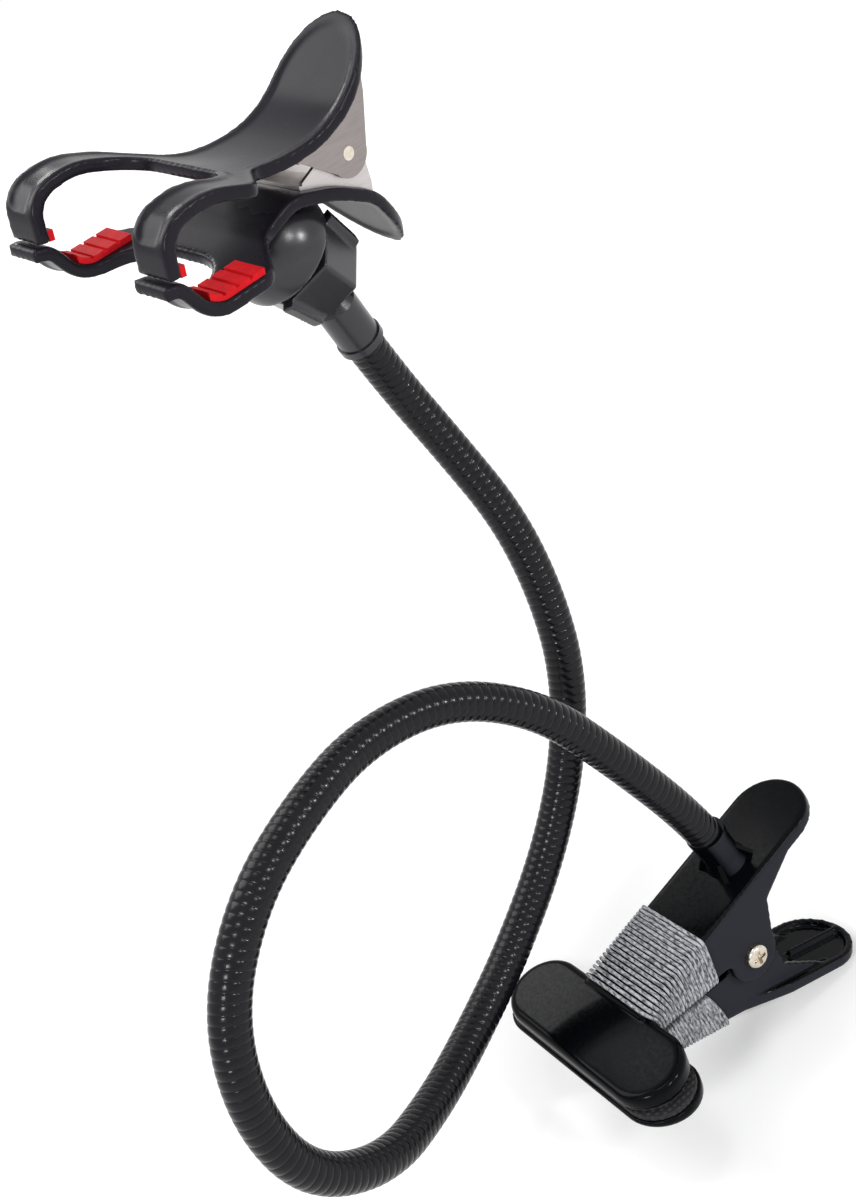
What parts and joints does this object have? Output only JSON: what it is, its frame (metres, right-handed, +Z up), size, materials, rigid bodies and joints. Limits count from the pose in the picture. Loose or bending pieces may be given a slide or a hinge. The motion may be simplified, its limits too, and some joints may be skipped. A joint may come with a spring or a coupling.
{
  "type": "phone gooseneck holder",
  "caption": "Bendable gooseneck arm with a sprung desk clamp at its foot and a padded phone clip on a ball joint at its end",
  "frame": {"origin": "midway between the clamp's two grip pads, at the middle of their length, on the plane where they meet", "axes": "+X along the clamp's hinge towards the screw's head, +Y from the grip pads to the handles, +Z up"},
  "size_m": [0.1002, 0.197, 0.3205],
  "materials": {
    "clamp_plastic": "glossy black",
    "clip_plastic": "satin black",
    "black_rubber": "dull black",
    "red_rubber": "dull red",
    "plated_steel": "bright plated",
    "woven_elastic": "grey woven",
    "black_metal": "black coated"
  },
  "bodies": {
    "clamp_and_neck": {"upper_lever": "clamp_plastic", "upper_grip_pad": "black_rubber", "hinge_screw": "plated_steel", "hinge_nut": "plated_steel", "elastic_band": "woven_elastic", "neck_socket": "clamp_plastic", "neck_screw": "plated_steel", "gooseneck": "black_metal", "ball_stem": "clamp_plastic"},
    "clamp_lower": {"lower_lever": "clamp_plastic", "lower_grip_pad": "black_rubber"},
    "nut": {"lock_nut": "clamp_plastic"},
    "clip_lower": {"lower_jaw": "clip_plastic", "lower_bracket": "plated_steel", "clip_pin": "plated_steel", "clip_spring": "plated_steel", "lower_near_pad": "red_rubber", "lower_far_pad": "red_rubber"},
    "clip_upper": {"upper_jaw": "clip_plastic", "upper_bracket": "plated_steel", "upper_near_pad": "red_rubber", "upper_far_pad": "red_rubber"}
  },
  "joints": [
    {"name": "clamp_hinge", "type": "hinge", "parent": "clamp_and_neck", "child": "clamp_lower", "pos_m": [0, 0.0519, 0], "axis": [1, 0, 0], "range_deg": [0, 50], "stiffness_Nm_per_rad": 1.2, "springref_deg": -22.92, "deforming": ["elastic_band"]},
    {"name": "ball_tilt", "type": "hinge", "parent": "clamp_and_neck", "child": "nut", "pos_m": [-0.0402, 0.0272, 0.2328], "axis": [0.9602, 0.1699, -0.2215], "range_deg": [-37, 3]},
    {"name": "ball_swivel", "type": "hinge", "parent": "nut", "child": "clip_lower", "pos_m": [-0.0402, 0.0272, 0.2328], "axis": [-0.2791, 0.5923, -0.7558], "continuous": true},
    {"name": "clip_hinge", "type": "hinge", "parent": "clip_lower", "child": "clip_upper", "pos_m": [-0.0361, 0.0396, 0.2601], "axis": [-0.9602, -0.1699, 0.2215], "range_deg": [0, 60], "stiffness_Nm_per_rad": 0.6, "springref_deg": -28.65, "deforming": ["clip_spring"]}
  ]
}
